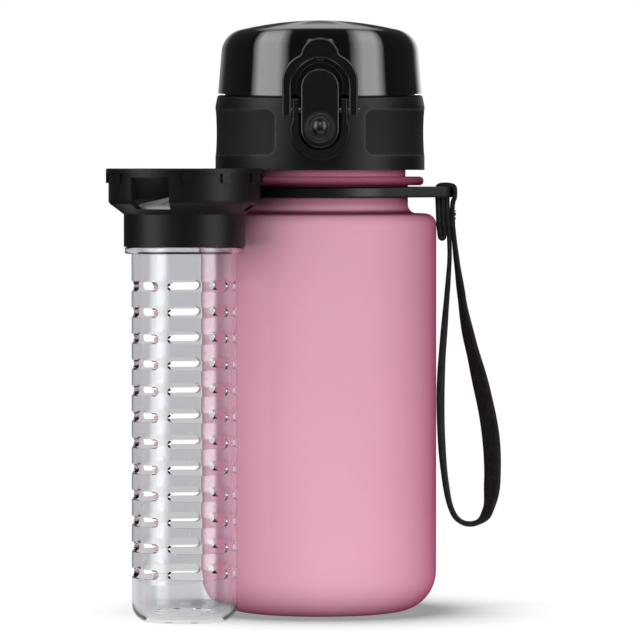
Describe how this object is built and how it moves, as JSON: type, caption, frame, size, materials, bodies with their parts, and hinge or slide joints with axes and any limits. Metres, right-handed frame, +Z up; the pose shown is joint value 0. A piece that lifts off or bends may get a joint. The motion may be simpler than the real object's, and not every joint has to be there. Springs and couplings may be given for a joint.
{
  "type": "fruit infuser water bottle",
  "caption": "Frosted drinking bottle with a screw-on flip-top lid, push latch and safety bail, a swivelling wrist strap, and a slotted fruit infuser basket standing beside it.",
  "frame": {"origin": "centre of the bottle's base, on the surface it stands on", "axes": "+Z up along the bottle's axis; the latch faces -Y and the strap hangs at +X"},
  "size_m": [0.1108, 0.0938, 0.1705],
  "materials": {
    "frosted_pink": "frosted, faintly satin",
    "satin_black": "satin",
    "matte_black": "fine matte",
    "gloss_black": "polished",
    "black_webbing": "woven",
    "silicone": "soft matte",
    "steel": "bright",
    "clear_plastic": "clear and polished",
    "milky_plastic": "translucent grey"
  },
  "bodies": {
    "bottle": {"bottle_shell": "frosted_pink"},
    "swivel_ring": {"strap_ring": "satin_black"},
    "strap": {"strap_head": "black_webbing", "strap_loop": "black_webbing"},
    "lid_seal": {"lid_gasket": "silicone"},
    "lid": {"lid_shell": "matte_black", "lid_liner": "matte_black", "drinking_spout": "matte_black", "hinge_pin": "steel", "hinge_spring": "steel", "latch_pin": "steel", "latch_spring": "steel"},
    "flip_cap": {"cap_shell": "gloss_black", "cap_liner": "matte_black", "cap_seal": "silicone"},
    "latch": {"latch_button": "satin_black"},
    "bail": {"lock_bail": "satin_black"},
    "infuser_basket": {"infuser_tube": "clear_plastic"},
    "infuser_top": {"infuser_head": "satin_black", "strainer": "milky_plastic"}
  },
  "joints": [
    {"name": "lid_rise", "type": "slide", "parent": "bottle", "child": "lid_seal", "axis": [0, 0, 1], "range_m": [0, 0.0142]},
    {"name": "lid_turn", "type": "hinge", "parent": "lid_seal", "child": "lid", "pos_m": [0, 0, 0.1353], "axis": [0, 0, 1], "range_deg": [0, 720]},
    {"name": "cap_flip", "type": "hinge", "parent": "lid", "child": "flip_cap", "pos_m": [0, 0.0322, 0.14935], "axis": [-1, 0, 0], "range_deg": [0, 125], "deforming": ["hinge_spring"]},
    {"name": "latch_press", "type": "hinge", "parent": "lid", "child": "latch", "pos_m": [0, -0.0324, 0.1443], "axis": [1, 0, 0], "range_deg": [0, 6], "stiffness_Nm_per_rad": 0.03, "deforming": ["latch_spring"]},
    {"name": "bail_swing", "type": "hinge", "parent": "lid", "child": "bail", "pos_m": [0, -0.0324, 0.1443], "axis": [1, 0, 0], "range_deg": [0, 110]},
    {"name": "ring_turn", "type": "hinge", "parent": "bottle", "child": "swivel_ring", "pos_m": [0, 0, 0.12105], "axis": [0, 0, 1], "range_deg": [-100, 190]},
    {"name": "strap_swing", "type": "hinge", "parent": "swivel_ring", "child": "strap", "pos_m": [0.0367, 0, 0.12105], "axis": [0, -1, 0], "range_deg": [0, 110]},
    {"name": "infuser_lift", "type": "slide", "parent": "bottle", "child": "infuser_basket", "axis": [0, 0, 1], "range_m": [0, 0.15]},
    {"name": "infuser_top_lift", "type": "slide", "parent": "infuser_basket", "child": "infuser_top", "axis": [0, 0, 1], "range_m": [0, 0.022]}
  ],
  "couplings": [
    {"joint": "lid_rise", "follows": "lid_turn", "m_per_rad": 0.0011141}
  ]
}
